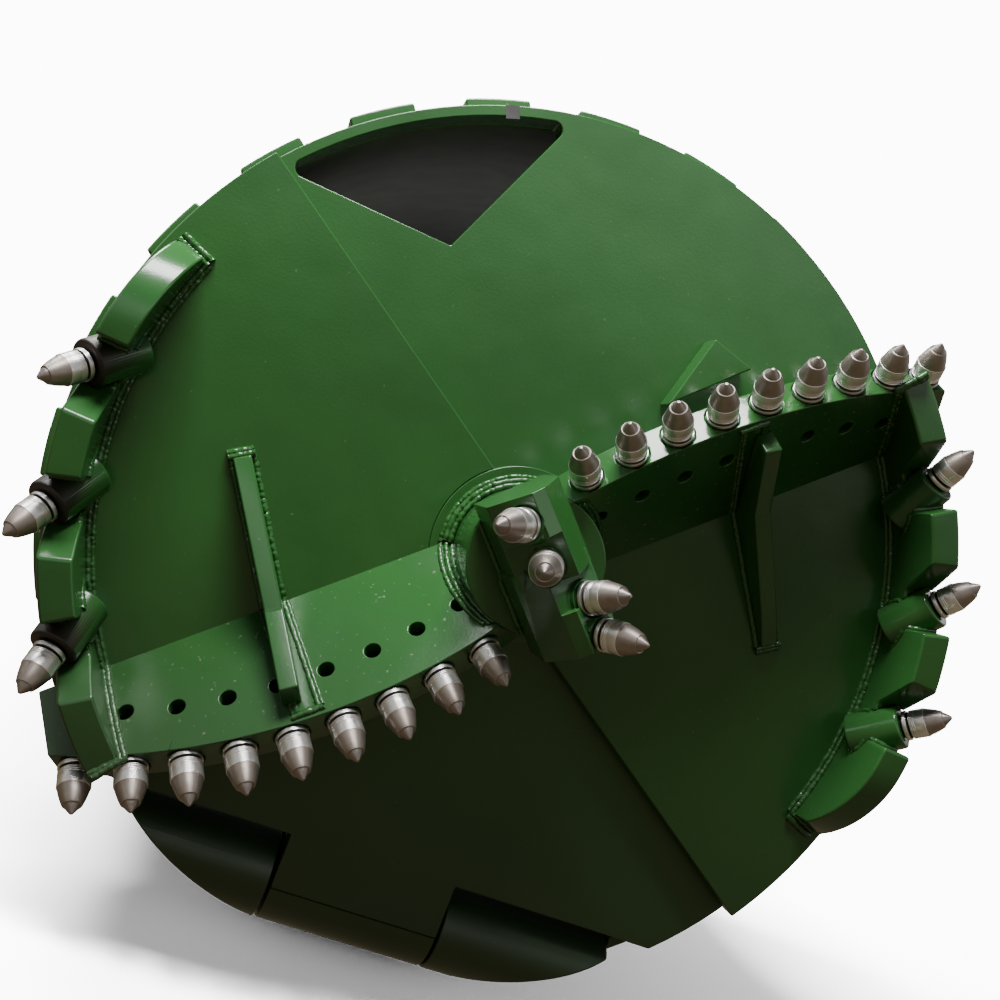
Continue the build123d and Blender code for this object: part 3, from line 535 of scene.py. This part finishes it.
class BUCKET_OT_add_teeth(bpy.types.Operator):
    """Turn a tooth on a lathe and set copies of it in every socket"""

    bl_idname = "bucket.add_teeth"
    bl_label = "Add teeth"

    # Radius and height of the turned profile, millimetres
    PROFILE = [
        (0, -20), (18.9, -20), (18.9, 3), (24.4, 3.2), (25.6, 4), (26, 5.5), (26, 9.5), (25.4, 10.8),
        (22.6, 11.2), (22.4, 14.6), (24.2, 15), (25, 15.6), (25, 17), (24.4, 17.6), (24.4, 18.4), (25, 19),
        (25, 20.4), (24.4, 21), (24.4, 21.8), (25, 22.4), (25, 23.8), (24.4, 24.4), (24.6, 26), (24.8, 30),
        (24.8, 40), (24.4, 41.4), (23.8, 41.8), (23.4, 43), (21.6, 50), (18.8, 59), (15.4, 67.6),
        (14.4, 69.4), (13.6, 69.8), (12.6, 69.4), (12.2, 69.6), (11.6, 71), (9, 75), (4.4, 81),
        (2.4, 83.3), (0, 84),
    ]
    # The foot and the groove are near-black: painted shade in the seat's gap and in the groove
    # Where the profile changes its steel: the foot, the groove's top and depth, the cone, the tip
    FOOT_TOP = 3.4
    GROOVE_TOP = 15
    GROOVE_RADIUS = 23.4
    CONE_BOTTOM = 42
    TIP_BOTTOM = 69.5
    TIP_RADIUS = 12.3
    BODY, CONE, TIP, GROOVE = range(4)

    def turned_tooth(self, settings):
        """One tooth at the origin with its tip up, its height kept as an attribute."""
        bpy.ops.object.select_all(action="DESELECT")
        bpy.ops.mesh.primitive_plane_add(size=0.01, enter_editmode=True)
        tooth = bpy.context.object
        bpy.ops.mesh.merge(type="CENTER")
        points = [Vector((r / 1000, 0, h / 1000)) for r, h in self.PROFILE]
        bpy.ops.transform.translate(value=points[0])
        for last, point in zip(points, points[1:]):
            bpy.ops.mesh.extrude_region_move(TRANSFORM_OT_translate={"value": point - last})
        bpy.ops.mesh.select_all(action="SELECT")
        bpy.ops.mesh.spin(steps=settings.steps, angle=2 * pi, center=(0, 0, 0), axis=(0, 0, 1))
        bpy.ops.mesh.select_all(action="SELECT")
        bpy.ops.mesh.remove_doubles(threshold=0.00001)
        bpy.ops.mesh.normals_make_consistent(inside=False)
        bpy.ops.object.mode_set(mode="OBJECT")
        bpy.ops.object.shade_smooth_by_angle(angle=radians(32))
        mesh = tooth.data
        height = mesh.attributes.new("height_mm", "FLOAT", "POINT")
        for vertex in mesh.vertices:
            height.data[vertex.index].value = vertex.co.z * 1000
        self.colour_tooth(mesh, settings)
        return tooth

    def colour_tooth(self, mesh, settings):
        """Body, cone and tip of a tooth, each in its own steel, with painted shade on its foot and in its
        groove.
        """
        for name, colour, roughness in (
            ("turned_tooth_steel", settings.steel, 0.30),
            ("tempered_cone_steel", settings.cone, 0.40),
            ("sintered_carbide", settings.tip, 0.36),
            # Near-black steel: painted shade on the foot and in the groove
            ("sooty_groove_steel", "1E1B19", 0.5),
        ):
            mesh.materials.append(material_named(name, tooth_material, colour, roughness))
        for face in mesh.polygons:
            middle = face.center.z * 1000
            across = face.center.xy.length * 1000
            if middle > self.TIP_BOTTOM and across < self.TIP_RADIUS:
                face.material_index = self.TIP
            elif middle > self.CONE_BOTTOM:
                face.material_index = self.CONE
            elif middle < self.FOOT_TOP or across < self.GROOVE_RADIUS and middle < self.GROOVE_TOP:
                face.material_index = self.GROOVE
            else:
                face.material_index = self.BODY

    def execute(self, context):
        tooth = self.turned_tooth(context.scene.bucket_tooth)
        rows = [("pilot_teeth", pilot_seats())]
        for letter, azimuth in ARM_AZIMUTHS.items():
            rows.append((f"arm_teeth_{letter}", arm_seats(azimuth)))
            rows.append((f"side_teeth_{letter}", side_seats(azimuth)))
        for node, seats in rows:
            copies = []
            for seat, direction in seats:
                copy = bpy.data.objects.new(f"{node}_turned", tooth.data.copy())
                turn = way(*direction).to_track_quat("Z", "Y").to_matrix().to_4x4()
                copy.data.transform(Matrix.Translation(at(*seat)) @ turn)
                context.scene.collection.objects.link(copy)
                copies.append(copy)
            only(copies[0])
            for copy in copies:
                copy.select_set(True)
            bpy.ops.object.join()
            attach(copies[0], "cutter")
            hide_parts(node)
        bpy.data.objects.remove(tooth)
        return {"FINISHED"}


def spaced(points, step):
    """Points at even steps along a run."""
    points = [Vector(p) for p in points]
    reach = [0.0]
    for last, point in zip(points, points[1:]):
        reach.append(reach[-1] + (point - last).length)
    count = max(2, round(reach[-1] / step))
    even, part = [], 0
    for number in range(count + 1):
        goal = reach[-1] * number / count
        while part < len(points) - 2 and reach[part + 1] < goal:
            part += 1
        share = (goal - reach[part]) / max(reach[part + 1] - reach[part], 1e-9)
        even.append(points[part].lerp(points[part + 1], share))
    return even


def arc(radius, z, start, end):
    """Bucket points round the axis."""
    count = max(2, round(abs(end - start) / 2))
    return [(*polar(radius, start + (end - start) * k / count), z) for k in range(count + 1)]


def leg(radius, across):
    """How far along an arm a circle round the axis is at a distance across the arm."""
    return sqrt(radius ** 2 - across ** 2)


def sloped(across, z):
    """Distance across an arm that a face of it has at a height, from that at the deck."""
    return across + (z - DECK) / tan(ARM_SLOPE)


def arm_back(along, z, azimuth):
    """Bucket point on the back face of an arm at a height."""
    return (*turned(along, sloped(ARM_BACK, z), azimuth), z)


def rib_point(back, aside, azimuth, lift=0):
    """Bucket point near the deck, behind a rib's root and beside its middle."""
    along = RIB_ALONG - back * sin(RIB_SKEW) + aside * cos(RIB_SKEW)
    across = ARM_BACK - back * cos(RIB_SKEW) - aside * sin(RIB_SKEW)
    return (*turned(along, across, azimuth), DECK + 2 + lift)


class BUCKET_OT_add_welds(bpy.types.Operator):
    """Lay rippled weld beads along the joints"""

    bl_idname = "bucket.add_welds"
    bl_label = "Add welds"

    # A run is a list of bucket points and the bead's half width; beads lie a few millimetres off the plates
    # Radius, height and half width of the beads round the hub, and where they start and end from an arm
    HUB_BEADS = ((132, 46, 5), (125, 50, 6), (118, 56, 5))
    HUB_SPAN = (12, 149)
    # Distance from the hub and half width of the beads that climb an arm's back, and how they part below
    HUB_SIDE_BEADS = ((1, 4.5), (8, 5), (15, 4.5))
    HUB_SIDE_SPREAD = 0.5
    HUB_FRONT_TOP = 120
    # Inset from a wall's inner face and half width of the beads where it meets its arm
    CORNER_BEADS = ((2, 6), (9, 6))
    HOLDER_BEAD = 5.5
    HOLDER_STEPS = 72
    SEAM_AZIMUTH = 200
    SEAM_ENDS = (-1130, -240)
    GUSSET_ENDS = (165, 540)
    # How a bead swells, wanders and ripples: share of the last swell, its range, millimetres, shape
    SWELL_KEPT = 0.6
    SWELL_RANGE = (0.8, 1.2)
    DRIFT = 0.45
    RIPPLE = (1.0, 0.98, 0.93)
    SEED = 7

    def hub_runs(self):
        """Beads round the hub and up the arms beside it."""
        runs = []
        start, end = self.HUB_SPAN
        for radius, z, size in self.HUB_BEADS:
            for azimuth in ARM_AZIMUTHS.values():
                runs.append((arc(radius, z, azimuth + start, azimuth + end), size))
        for azimuth in ARM_AZIMUTHS.values():
            for out, size in self.HUB_SIDE_BEADS:
                points = []
                for z in range(DECK, HUB_TOP, 10):
                    fan = out * (1 + self.HUB_SIDE_SPREAD * (HUB_TOP - z) / (HUB_TOP - DECK))
                    points.append(arm_back(leg(HUB_RADIUS, sloped(ARM_BACK, z)) + fan, z, azimuth))
                runs.append((points, size))
            front = []
            for z in range(DECK, self.HUB_FRONT_TOP, 10):
                across = sloped(ARM_FRONT, z)
                front.append((*turned(leg(HUB_RADIUS, across) + 3, across, azimuth), z))
            runs.append((front, 6))
        return runs

    def rib_runs(self):
        """Beads beside the ribs, on the deck and up the arms."""
        runs = []
        top = DECK + RIB_UP * sin(ARM_SLOPE)
        for azimuth in ARM_AZIMUTHS.values():
            for side in (-1, 1):
                aside = side * (RIB_HALF + 3)
                runs.append(([rib_point(RIB_LENGTH, aside, azimuth), rib_point(0, aside, azimuth)], 6))
                for out, size in ((2, 5), (8, 4)):
                    along = RIB_ALONG + side * (RIB_HALF + out)
                    runs.append(([arm_back(along, z, azimuth) for z in (DECK + 4, top + 14)], size))
            for back, lift, size in ((2, 5, 6), (9, 1, 6)):
                sides = (-RIB_HALF - 7, RIB_HALF + 7)
                ends = [rib_point(RIB_LENGTH + back, aside, azimuth, lift) for aside in sides]
                runs.append((ends, size))
            ends = [RIB_ALONG - RIB_HALF - 10, RIB_ALONG + RIB_HALF + 10]
            runs.append(([arm_back(along, top + 17, azimuth) for along in ends], 6))
        return runs

    def wall_runs(self):
        """Beads along the side walls, at their arms and round their holders."""
        runs = []
        for azimuth in ARM_AZIMUTHS.values():
            tail = azimuth - WALL_TAIL_TURN
            root = azimuth + degrees(asin(ARM_BACK / WALL_INNER))
            runs.append((arc(WALL_INNER - 2, DECK + 3, tail, root), 6))
            runs.append((arc(WALL_INNER - 9, DECK, tail, root), 5))
            for turn in (0, -0.8):
                runs.append(([(*polar(r, tail + turn), DECK + 4) for r in (WALL_INNER - 6, WALL_OUTER)], 6))
            for inset, size in self.CORNER_BEADS:
                corner = []
                for z in range(DECK, WALL_CREST + 1, 12):
                    corner.append(arm_back(leg(WALL_INNER - inset, sloped(ARM_BACK, z)), z, azimuth))
                top = WALL_CREST + inset
                corner.append(arm_back(leg(WALL_OUTER - 6, sloped(ARM_BACK, top)), top, azimuth))
                runs.append((corner, size))
            for back in SIDE_SEATS:
                runs += self.holder_runs(azimuth - back)
        return runs

    def holder_runs(self, azimuth):
        """Beads round one tube: on the wall's inner face, on the step and on the deck."""
        lean, tilt = radians(SIDE_LEAN), radians(SIDE_TILT)
        # Radial, tangential and outward parts of the tube's axis and of two directions across it
        axis = Vector((cos(tilt) * cos(lean), cos(tilt) * sin(lean), sin(tilt)))
        first = Vector((-sin(lean), cos(lean), 0))
        second = axis.cross(first)
        seat = Vector((SIDE_SEAT_RADIUS, 0, SIDE_HEIGHT))
        rows = {"inner": [], "step": [], "deck": []}
        for number in range(self.HOLDER_STEPS + 1):
            turn = 2 * pi * number / self.HOLDER_STEPS
            rim = seat + HOLDER_RADIUS * (first * cos(turn) + second * sin(turn))
            inner = rim - axis * (rim.x - WALL_INNER + 2) / axis.x
            crest = WALL_CREST if inner.y < -WALL_STEP else WALL_VALLEY
            if DECK < inner.z < crest:
                rows["inner"].append((number, inner))
            step = rim - axis * (rim.y + WALL_STEP - 2) / axis.y
            if WALL_INNER < step.x < WALL_OUTER and WALL_VALLEY < step.z:
                rows["step"].append((number, step))
            deck = rim - axis * (rim.z - DECK - 2) / axis.z
            if deck.x < WALL_INNER and (rim - deck).length < HOLDER_LENGTH:
                rows["deck"].append((number, deck))
        runs = []
        for row in rows.values():
            run, last = [], None
            for number, place in row:
                if run and number != last + 1:
                    runs.append((run, self.HOLDER_BEAD))
                    run = []
                run.append((*turned(place.x, place.y, azimuth), place.z))
                last = number
            runs.append((run, self.HOLDER_BEAD))
        return [run for run in runs if len(run[0]) > 2]

    def pilot_runs(self):
        """Beads along the foot of the pilot's body."""
        runs = []
        for azimuth in (PILOT_AZIMUTH, PILOT_AZIMUTH + 180):
            for across in (PILOT_LEAD + 2, -PILOT_TRAIL - 2):
                ends = (0, leg(HUB_RADIUS, across))
                runs.append(([(*turned(along, across, azimuth), HUB_TOP + 2) for along in ends], 5))
        return runs

    def shell_runs(self):
        """Beads round the wear plates, the top plate, the kelly box and the long seam."""
        runs = []
        half = degrees(asin((WEAR_HALF_WIDTH + 3) / SHELL_RADIUS))
        for back, front in WEAR_RINGS:
            for number in range(WEAR_COUNT):
                azimuth = HINGE_AZIMUTH + WEAR_PITCH * (number + 0.5)
                from_hinge = abs((azimuth - HINGE_AZIMUTH + 180) % 360 - 180)
                short = front == SHELL_FRONT and from_hinge < WEAR_SHORT_TURN
                ends = (back, WEAR_SHORT_END if short else front)
                for side in (-1, 1):
                    turn = azimuth + side * half
                    runs.append(([(*polar(SHELL_RADIUS + 3, turn), z) for z in ends], 9))
                runs.append((arc(SHELL_RADIUS + 3, back - 2, azimuth - half, azimuth + half), 9))
        runs.append((arc(SHELL_RADIUS, SHELL_BACK, 0, 360), 7))
        runs.append(([(*polar(SHELL_RADIUS, self.SEAM_AZIMUTH), z) for z in self.SEAM_ENDS], 6))
        off, beside = KELLY_HALF + 2, GUSSET_HALF + 2
        for x, y in ((1, 0), (-1, 0), (0, 1), (0, -1)):
            ends = [(x * off - y * s, y * off + x * s) for s in (-KELLY_HALF, KELLY_HALF)]
            runs.append(([(*end, TOP_BACK - 2) for end in ends], 9))
            for side in (-beside, beside):
                foot = [(x * r - y * side, y * r + x * side) for r in self.GUSSET_ENDS]
                runs.append(([(*point, TOP_BACK - 2) for point in foot], 7))
        return runs

    def lay(self, name, body, runs, ripple):
        """One object of beads for one body."""
        chance = Random(self.SEED)
        curve = bpy.data.curves.new(name, "CURVE")
        curve.dimensions = "3D"
        curve.bevel_depth = 0.001
        curve.bevel_resolution = 2
        curve.use_fill_caps = True
        beat = len(self.RIPPLE)
        for points, size in runs:
            even = spaced(points, ripple / beat)
            spline = curve.splines.new("POLY")
            spline.points.add(len(even) - 1)
            swell = 1.0
            for number, (knot, point) in enumerate(zip(spline.points, even)):
                if number % beat == 0:
                    fresh = chance.uniform(*self.SWELL_RANGE)
                    swell = self.SWELL_KEPT * swell + (1 - self.SWELL_KEPT) * fresh
                drift = Vector([chance.gauss(0, self.DRIFT) for _ in range(3)])
                knot.co = (*at(*(point + drift)), 1)
                knot.radius = size * swell * self.RIPPLE[number % beat]
        piece = bpy.data.objects.new(name, curve)
        bpy.context.scene.collection.objects.link(piece)
        only(piece)
        bpy.ops.object.convert(target="MESH")
        piece = bpy.context.object
        bpy.ops.object.shade_smooth()
        finish_piece(piece, enamel(), body, "green_enamel")

    def execute(self, context):
        settings = context.scene.bucket_weld
        cutter = self.hub_runs() + self.rib_runs() + self.wall_runs() + self.pilot_runs()
        self.lay("cutter_welds", "cutter", cutter, settings.ripple)
        self.lay("shell_welds", "shell", self.shell_runs(), settings.coarse_ripple)
        return {"FINISHED"}


class BUCKET_OT_add_rim_mark(bpy.types.Operator):
    """Rub a patch of the bottom's rim down to the steel"""

    bl_idname = "bucket.add_rim_mark"
    bl_label = "Add rim mark"

    def execute(self, context):
        bpy.ops.object.select_all(action="DESELECT")
        bpy.ops.mesh.primitive_cube_add(size=0.001, enter_editmode=True)
        mark = context.object
        mark.name = "bare_rim_mark"
        bpy.ops.mesh.select_all(action="SELECT")
        bpy.ops.transform.resize(value=RIM_MARK_SIZE)
        bpy.ops.object.mode_set(mode="OBJECT")
        turn = Matrix.Rotation(radians(90 - RIM_MARK_AZIMUTH), 4, "Y")
        mark.data.transform(Matrix.Translation(at(*polar(RIM_MARK_RADIUS, RIM_MARK_AZIMUTH), 0)) @ turn)
        finish_piece(mark, bar_steel(), "bottom", "pin_steel")
        return {"FINISHED"}


class BUCKET_OT_add_stage(bpy.types.Operator):
    """Set up the floor, the hall, the soft lights and the camera"""

    bl_idname = "bucket.add_stage"
    bl_label = "Add stage"

    # The hall as the bucket mirrors it, by height: dark ground, a bright band above the horizon, a dim roof
    HALL_MARKS = (
        (0.0, "766A55"), (0.11, "6E6657"), (0.26, "C6C6C1"), (0.36, "FFFFFF"), (0.44, "FFFFFF"),
        (0.55, "565A59"), (1.0, "454A4A"))
    # Strength of the white that the camera sees behind the bucket
    BACKDROP = 12.0
    # Light, its place, what it points at, its width and depth in metres, and the setting with its power
    LAMPS = (
        ("overhead_softbox", (-0.95, -1.38, 3.4), (-0.95, -0.6, 0.8), 1.4, 0.8, "key_power"),
        ("side_softbox", (-2.2, 0.7, 3.6), (-0.4, -0.5, 0.8), 1.3, 1.3, "side_power"),
        ("inside_softbox", (0.0, -0.3, 0.7), (0.0, 0.6, 1.0), 0.5, 0.5, "inside_power"),
    )
    SENSOR = 36
    # Where the camera's right and its view point, in the frame
    CAMERA_RIGHT = (0.9103, -0.2009, 0.3620)
    CAMERA_FORWARD = (0.2030, 0.9787, 0.0327)

    def add_floor(self, settings):
        """A floor that only catches shadows."""
        bpy.ops.object.select_all(action="DESELECT")
        bpy.ops.mesh.primitive_plane_add(size=30)
        floor = bpy.context.object
        floor.name = "studio_floor"
        material, _, shader = new_material("matt_studio_floor")
        shader.inputs["Base Color"].default_value = linear(settings.floor)
        shader.inputs["Roughness"].default_value = 0.9
        floor.data.materials.append(material)
        floor.is_shadow_catcher = True
        floor.visible_diffuse = False
        floor.visible_glossy = False

    def add_hall(self, settings):
        """A white backdrop, and the hall that lights the bucket and is mirrored in it."""
        world = bpy.data.worlds.new("studio")
        bpy.context.scene.world = world
        world.use_nodes = True
        tree = world.node_tree
        ground = tree.nodes["Background"]
        ground.inputs["Color"].default_value = (1, 1, 1, 1)
        ground.inputs["Strength"].default_value = self.BACKDROP
        path = add_node(tree, "ShaderNodeLightPath")
        sky = add_node(tree, "ShaderNodeTexCoord").outputs["Generated"]
        height = add_node(tree, "ShaderNodeSeparateXYZ", links={"Vector": sky}).outputs["Z"]
        ramp = add_node(tree, "ShaderNodeValToRGB", links={"Fac": height})
        while len(ramp.color_ramp.elements) < len(self.HALL_MARKS):
            ramp.color_ramp.elements.new(1.0)
        for element, (place, colour) in zip(ramp.color_ramp.elements, self.HALL_MARKS):
            element.position = place
            element.color = linear(colour)
        fill = settings.hall * settings.hall_fill
        strength = add_node(
            tree, "ShaderNodeMath", {1: settings.hall - fill, 2: fill}, {0: path.outputs["Is Glossy Ray"]},
            operation="MULTIPLY_ADD")
        room = add_node(
            tree, "ShaderNodeBackground",
            links={"Color": ramp.outputs["Color"], "Strength": strength.outputs[0]})
        both = add_node(tree, "ShaderNodeMixShader", links={
            0: path.outputs["Is Camera Ray"], 1: room.outputs[0], 2: ground.outputs[0]})
        tree.links.new(both.outputs[0], tree.nodes["World Output"].inputs[0])

    def add_lamps(self, settings):
        """Rectangular soft lights."""
        for name, place, target, width, depth, power in self.LAMPS:
            lamp = bpy.data.lights.new(name, "AREA")
            lamp.shape = "RECTANGLE"
            lamp.size = width
            lamp.size_y = depth
            lamp.energy = getattr(settings, power)
            light = bpy.data.objects.new(name, lamp)
            light.location = place
            light.rotation_euler = (Vector(target) - Vector(place)).to_track_quat("-Z", "Y").to_euler()
            bpy.context.scene.collection.objects.link(light)

    def add_camera(self, settings):
        """The camera that took the photo, as far as the teeth tell."""
        lens = bpy.data.cameras.new("photo_camera")
        lens.lens = settings.lens
        lens.sensor_width = self.SENSOR
        lens.sensor_height = self.SENSOR
        camera = bpy.data.objects.new("photo_camera", lens)
        forward = Vector(self.CAMERA_FORWARD).normalized()
        right = Vector(self.CAMERA_RIGHT)
        right = (right - forward * right.dot(forward)).normalized()
        up = right.cross(forward)
        turn = Matrix((right, up, -forward)).transposed().to_4x4()
        camera.matrix_world = Matrix.Translation(at(*settings.camera)) @ turn
        bpy.context.scene.collection.objects.link(camera)
        bpy.context.scene.camera = camera

    def execute(self, context):
        settings = context.scene.bucket_stage
        self.add_floor(settings)
        self.add_hall(settings)
        self.add_lamps(settings)
        self.add_camera(settings)
        return {"FINISHED"}


class BUCKET_PT_panel(bpy.types.Panel):
    """Steps that dress the bucket"""

    bl_idname = "BUCKET_PT_panel"
    bl_label = "Rock drilling bucket"
    bl_space_type = "VIEW_3D"
    bl_region_type = "UI"
    bl_category = "Bucket"

    def draw(self, context):
        for operator in OPERATORS:
            self.layout.operator(operator.bl_idname)


SETTINGS = {
    "bucket_enamel": EnamelSettings,
    "bucket_tooth": ToothSettings,
    "bucket_weld": WeldSettings,
    "bucket_stage": StageSettings,
}
OPERATORS = (
    BUCKET_OT_paint_plates, BUCKET_OT_grease_pins, BUCKET_OT_add_teeth, BUCKET_OT_add_welds,
    BUCKET_OT_add_rim_mark, BUCKET_OT_add_stage)


def register():
    """Make the settings, the operators and the panel known."""
    for name, group in SETTINGS.items():
        bpy.utils.register_class(group)
        setattr(bpy.types.Scene, name, bpy.props.PointerProperty(type=group))
    for cls in (*OPERATORS, BUCKET_PT_panel):
        bpy.utils.register_class(cls)


def unregister():
    """Take them out again."""
    for cls in (BUCKET_PT_panel, *reversed(OPERATORS)):
        bpy.utils.unregister_class(cls)
    for name, group in SETTINGS.items():
        delattr(bpy.types.Scene, name)
        bpy.utils.unregister_class(group)


def main():
    """Dress the bucket."""
    register()
    bpy.ops.bucket.paint_plates()
    bpy.ops.bucket.grease_pins()
    bpy.ops.bucket.add_teeth()
    bpy.ops.bucket.add_welds()
    bpy.ops.bucket.add_rim_mark()
    bpy.ops.bucket.add_stage()


if __name__ == "__main__":
    main()
